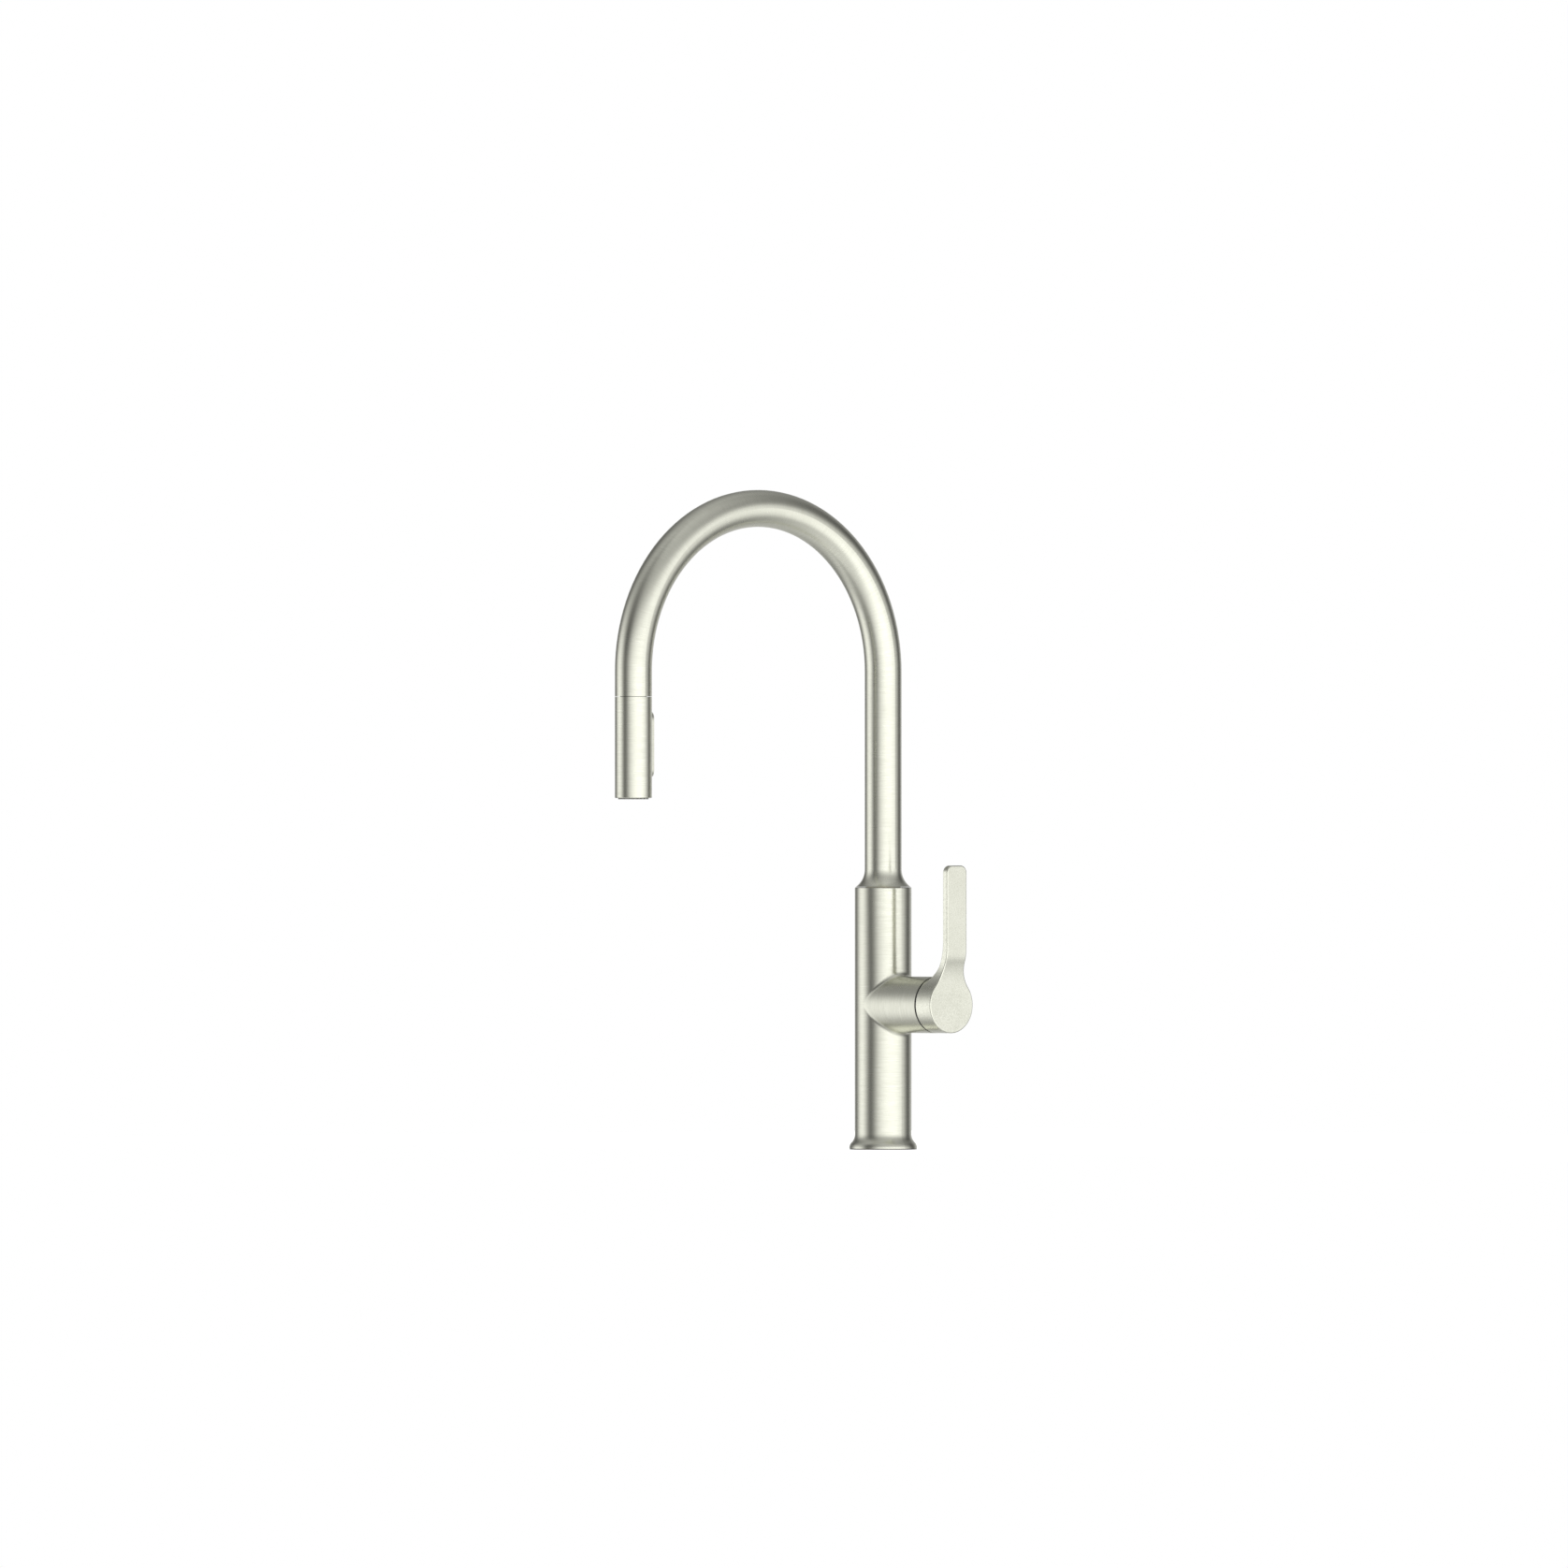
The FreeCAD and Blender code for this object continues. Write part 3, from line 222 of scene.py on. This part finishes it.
def make_floor():
    mesh = bpy.data.meshes.new("floor")
    corners = ((-FLOOR_HALF, FLOOR_FRONT), (FLOOR_HALF, FLOOR_FRONT),
               (FLOOR_HALF, FLOOR_HALF), (-FLOOR_HALF, FLOOR_HALF))
    mesh.from_pydata([(x, y, FLOOR_HEIGHT) for x, y in corners], [], [(0, 1, 2, 3)])
    floor = bpy.data.objects.new("floor", mesh)
    material, graph, shader = new_material("floor_board")
    shader.inputs["Emission Color"].default_value = (1, 1, 1, 1)
    shader.inputs["Emission Strength"].default_value = FLOOR_GLOW
    shader.inputs["Roughness"].default_value = 0.8
    grain = graph.noise(graph.add("ShaderNodeTexCoord", output="Object"), 400)
    graph.link(graph.mix(grain, (0.93, 0.93, 0.92), (0.95, 0.95, 0.94)), shader.inputs["Base Color"])
    mesh.materials.append(material)
    bpy.context.scene.collection.objects.link(floor)
    floor.visible_glossy = False


# ---- surface directions: a grain vector, fine along the piece, and the piece's own axis ----

ACROSS_GRAIN = 3000
ALONG_GRAIN = 90
# beyond the neck's radius, where upright brushing gives way to the branch's, outwards and then upwards
LEAVES_BODY = (0.0008, 0.0022)
LEAVES_BRANCH = (0.004, 0.006)


def upright(graph, place):
    grain = graph.scaled(graph.separate(place), (ALONG_GRAIN, ALONG_GRAIN, ACROSS_GRAIN))
    return grain, graph.combine(0.0, 0.0, 1.0)


def on_body(graph, place):
    """Upright on the body, and turned about the valve axis on the branch that leaves it."""
    x, y, z = graph.separate(place)
    body_grain, body_axis = upright(graph, place)
    branch_grain = graph.scaled((x, y, z), (ACROSS_GRAIN, ALONG_GRAIN, ALONG_GRAIN))
    share = graph.map(graph.length(x, y), *(NECK_RADIUS + reach for reach in LEAVES_BODY), 0.0, 1.0)
    near_branch = graph.map(graph.math("ABSOLUTE", graph.math("SUBTRACT", z, VALVE_HEIGHT)),
                            *(NECK_RADIUS + reach for reach in LEAVES_BRANCH), 1.0, 0.0)
    share = graph.math("MULTIPLY", share, near_branch)
    return (graph.mix_vectors(share, body_grain, branch_grain),
            graph.mix_vectors(share, body_axis, graph.combine(1.0, 0.0, 0.0)))


def on_arch(graph, place):
    """Along the spout tube: up the riser, round the arch and down again."""
    x, y, z = graph.separate(place)
    from_middle = graph.math("ADD", y, ARCH_RADIUS)
    rise = graph.math("SUBTRACT", z, ARCH_BASE)
    above = graph.math("MAXIMUM", rise, 0.0)
    below = graph.math("MINIMUM", rise, 0.0)
    span = graph.length(from_middle, above)
    bend = graph.math("MULTIPLY", graph.math("ARCTAN2", above, from_middle), ARCH_RADIUS)
    along = graph.math("ADD", bend, graph.math("MULTIPLY", below, graph.math("SIGN", from_middle)))
    runs = graph.combine(0.0, graph.math("DIVIDE", graph.math("MULTIPLY", above, -1.0), span),
                         graph.math("DIVIDE", from_middle, span))
    out = graph.math("SUBTRACT", span, ARCH_RADIUS)
    return graph.scaled((along, x, out), (ACROSS_GRAIN, ALONG_GRAIN, ALONG_GRAIN)), runs


# ---- materials ----

def new_material(name):
    material = bpy.data.materials.new(name)
    material.use_nodes = True
    return material, Graph(material.node_tree), material.node_tree.nodes["Principled BSDF"]


def add_bump(graph, shader, height, strength, distance):
    graph.link(graph.add("ShaderNodeBump", {"Height": height, "Strength": strength, "Distance": distance},
                         output="Normal"), shader.inputs["Normal"])


NICKEL_LIGHT = (0.865, 0.870, 0.765)
NICKEL_DARK = (0.755, 0.760, 0.655)


def brushed_nickel(name, direction, roughness=0.30, spread=0.7):
    """Nickel brushed round the piece: short fine streaks that throw the light along its axis."""
    material, graph, shader = new_material(name)
    place = graph.add("ShaderNodeTexCoord", output="Object")
    grain, axis = direction(graph, place)
    streaks = graph.noise(grain, 1.0, 3.0)
    specks = graph.noise(place, 1600)
    clouds = graph.noise(place, 40)
    level = graph.math("ADD", graph.math("MULTIPLY", streaks, 0.8), graph.math("MULTIPLY", specks, 0.2))
    graph.link(graph.mix(graph.map(level, 0.34, 0.66, 0.0, 1.0), NICKEL_DARK, NICKEL_LIGHT),
               shader.inputs["Base Color"])
    worn = graph.math("ADD", graph.map(level, 0.35, 0.65, 0.03, -0.03),
                      graph.map(clouds, 0.3, 0.7, roughness - 0.02, roughness + 0.02))
    graph.link(worn, shader.inputs["Roughness"])
    shader.inputs["Metallic"].default_value = 1.0
    shader.inputs["Anisotropic"].default_value = spread
    turned = graph.add("ShaderNodeVectorTransform", {"Vector": axis}, vector_type="VECTOR",
                       convert_from="OBJECT", convert_to="WORLD")
    graph.link(turned, shader.inputs["Tangent"])
    add_bump(graph, shader, level, 0.22, 0.00002)
    return material


def blasted_nickel(name, roughness=0.27):
    """Nickel with a fine even grain, as on the lever's face."""
    material, graph, shader = new_material(name)
    place = graph.add("ShaderNodeTexCoord", output="Object")
    grain = graph.noise(place, 1300, 3.0)
    clouds = graph.noise(place, 90)
    level = graph.math("ADD", graph.math("MULTIPLY", grain, 0.8), graph.math("MULTIPLY", clouds, 0.2))
    graph.link(graph.mix(graph.map(level, 0.38, 0.62, 0.0, 1.0), NICKEL_DARK, NICKEL_LIGHT),
               shader.inputs["Base Color"])
    graph.link(graph.map(level, 0.35, 0.65, roughness + 0.05, roughness - 0.05), shader.inputs["Roughness"])
    shader.inputs["Metallic"].default_value = 1.0
    add_bump(graph, shader, grain, 0.45, 0.00003)
    return material


def stock(name, colour, roughness, metallic=0.0, grain=900.0, pattern=None, depth=0.00003):
    """Moulded, ground or turned stock: a slight drift of colour, uneven roughness and its surface pattern."""
    material, graph, shader = new_material(name)
    place = graph.add("ShaderNodeTexCoord", output="Object")
    fine = graph.noise(place, grain)
    worn = tuple(channel * 0.86 for channel in colour)
    graph.link(graph.mix(graph.noise(place, 60, 3.0), worn, colour), shader.inputs["Base Color"])
    graph.link(graph.map(fine, 0.0, 1.0, roughness - 0.05, roughness + 0.07), shader.inputs["Roughness"])
    shader.inputs["Metallic"].default_value = metallic
    add_bump(graph, shader, pattern(graph, place) if pattern else fine, 0.5, depth)
    return material


RING_PITCH = 0.0009
SCREEN_PITCH = 0.0008


def head_rings(graph, place):
    """Fine moulded rings about the spray head's axis."""
    x, y, _ = graph.separate(place)
    return graph.waves(graph.length(x, graph.math("SUBTRACT", y, HEAD_Y)), RING_PITCH)


def screen_mesh(graph, place):
    """The aerator's wire screen: two crossing sets of ridges."""
    x, y, _ = graph.separate(place)
    return graph.math("MAXIMUM", graph.waves(x, SCREEN_PITCH), graph.waves(y, SCREEN_PITCH))


STRANDS = 8.0
WEAVE_PITCH = 0.0042
LAY = "lay"


def braided_sleeve(name):
    """Two sets of strands wound opposite ways round the hose, with a dark gap where they part.

    The strands' turn comes from the mesh, and their climb from the height, so the weave keeps its
    pitch when the hose is drawn out.
    """
    material, graph, shader = new_material(name)
    place = graph.add("ShaderNodeTexCoord", output="Object")
    z = graph.separate(place)[2]
    x, out, bend = graph.separate(graph.add("ShaderNodeAttribute", output="Vector", attribute_name=LAY))
    along = graph.math("ADD", bend, graph.math("MINIMUM", graph.math("SUBTRACT", z, ARCH_BASE), 0.0))
    turn = graph.math("MULTIPLY", graph.math("ARCTAN2", x, out), STRANDS)
    climb = graph.math("MULTIPLY", along, 2 * math.pi / WEAVE_PITCH)
    one_way = graph.math("SINE", graph.math("ADD", climb, turn))
    other_way = graph.math("SINE", graph.math("SUBTRACT", climb, turn))
    weave = graph.map(graph.math("MAXIMUM", one_way, other_way), -0.4, 1.0, 0.0, 1.0)
    fuzz = graph.noise(place, 2500)
    level = graph.math("MULTIPLY", weave, graph.map(fuzz, 0.2, 0.8, 0.75, 1.0))
    graph.link(graph.mix(level, (0.05, 0.05, 0.055), (0.42, 0.42, 0.43)), shader.inputs["Base Color"])
    graph.link(graph.map(fuzz, 0.0, 1.0, 0.45, 0.62), shader.inputs["Roughness"])
    add_bump(graph, shader, level, 0.8, 0.00025)
    return material


def dress(material, *names):
    for name in names:
        for slot in nodes[name].material_slots:
            slot.material = material


def make_materials():
    dress(brushed_nickel("nickel_body", on_body), "body_shell")
    dress(brushed_nickel("nickel_upright", upright), "neck_collar", "head_shell")
    dress(brushed_nickel("nickel_rocker", upright, 0.31, 0.5), "rocker_button")
    dress(brushed_nickel("nickel_spout", on_arch), "spout_tube")
    dress(blasted_nickel("nickel_lever"), "handle_lever")
    # near-black plastic for the bonnet dome, also kept this dark as painted shade: it fills the gap between
    # the branch and the handle hub with the dark of the shade there
    dress(stock("dome_plastic_and_gap_shade", (0.020, 0.020, 0.022), 0.5), "bonnet_dome")
    dress(stock("seal_rubber", (0.020, 0.020, 0.020), 0.6),
          "base_gasket", "port_seals", "nut_washer", "waterway_seal")
    dress(stock("turned_brass", (0.72, 0.52, 0.24), 0.28, 1.0, 1400), "base_insert", "valve_core",
          "cartridge_nut", "spout_foot", "hose_nut", "handle_insert", "cartridge_stem")
    dress(stock("tube_plastic", (0.82, 0.83, 0.84), 0.35), "inlet_tube_hot", "inlet_tube_cold", "outlet_tube")
    dress(stock("cartridge_plastic", (0.86, 0.86, 0.83), 0.42),
          "cartridge_base", "cartridge_housing", "cartridge_rotor", "disc_carrier")
    dress(stock("lapped_ceramic", (0.90, 0.89, 0.85), 0.15), "ceramic_disc_fixed", "ceramic_disc_moving")
    dress(stock("bearing_plastic", (0.80, 0.80, 0.76), 0.4),
          "swivel_bush_lower", "swivel_bush_upper", "swivel_stop", "hose_guide", "dock_collar")
    dress(stock("plated_magnet", (0.60, 0.60, 0.60), 0.2, 1.0), "dock_magnet", "head_magnet")
    dress(stock("stainless", (0.62, 0.62, 0.61), 0.25, 1.0, 1400), "tilt_pin", "rocker_pin", "stop_pin",
          "retaining_clip", "hose_ferrule", "handle_screw")
    dress(stock("dark_plastic", (0.060, 0.060, 0.065), 0.42),
          "head_spigot", "head_waterway", "spray_plate", "check_valve", "diverter_plunger")
    dress(stock("face_plastic", (0.045, 0.045, 0.048), 0.36, pattern=head_rings), "spray_face")
    dress(stock("nozzle_silicone", (0.42, 0.42, 0.40), 0.55), "nozzle_mat")
    dress(stock("aerator_screen", (0.10, 0.10, 0.105), 0.4, pattern=screen_mesh, depth=0.0002), "aerator")


# ---- hose: one piece through the spout, and one that draws out with the head ----

HOSE_SIDES = 32
DRAWN_RINGS = 40
ARCH_RINGS = 64


def make_hose_piece(name, stations, material):
    """A closed round tube through (centre, way out from the arch's middle, length round the arch)."""
    mesh = bmesh.new()
    lay = mesh.verts.layers.float_vector.new(LAY)
    rings = []
    for centre, out, bend in stations:
        ring = []
        for side in range(HOSE_SIDES):
            turn = 2 * math.pi * side / HOSE_SIDES
            offset = Vector((math.sin(turn), 0, 0)) + out * math.cos(turn)
            vertex = mesh.verts.new(centre + offset * HOSE_RADIUS)
            vertex[lay] = Vector((math.sin(turn), math.cos(turn), bend))
            ring.append(vertex)
        rings.append(ring)
    for ring, following in zip(rings, rings[1:]):
        for side in range(HOSE_SIDES):
            after = (side + 1) % HOSE_SIDES
            mesh.faces.new((ring[side], ring[after], following[after], following[side])).smooth = True
    mesh.faces.new(list(reversed(rings[0])))
    mesh.faces.new(rings[-1])
    bmesh.ops.recalc_face_normals(mesh, faces=mesh.faces)
    data = bpy.data.meshes.new(name)
    mesh.to_mesh(data)
    mesh.free()
    data.materials.append(material)
    piece = bpy.data.objects.new(name, data)
    bpy.context.scene.collection.objects.link(piece)
    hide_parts("spray_hose")
    return piece


def make_hose():
    braid = braided_sleeve("hose_braid")
    toward_base = Vector((0, 1, 0))
    stations = [(Vector((0, 0, hose_low.z)), toward_base, 0.0)]
    for step in range(ARCH_RINGS + 1):
        angle = math.pi * step / ARCH_RINGS
        out = Vector((0, math.cos(angle), math.sin(angle)))
        stations.append((Vector((0, -ARCH_RADIUS, ARCH_BASE)) + out * ARCH_RADIUS, out, angle * ARCH_RADIUS))
    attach(make_hose_piece("hose_in_spout", stations, braid), "spout")

    drop = ARCH_BASE - HOSE_END
    stations = [(Vector((0, HEAD_Y, ARCH_BASE - drop * step / DRAWN_RINGS)), -toward_base, 0.0)
                for step in range(DRAWN_RINGS + 1)]
    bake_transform(make_hose_piece("hose_drawn_out", stations, braid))


# ---- the scene ----

make_camera()
bpy.context.scene.view_settings.view_transform = "Standard"
make_studio()
make_floor()
make_materials()
make_hose()
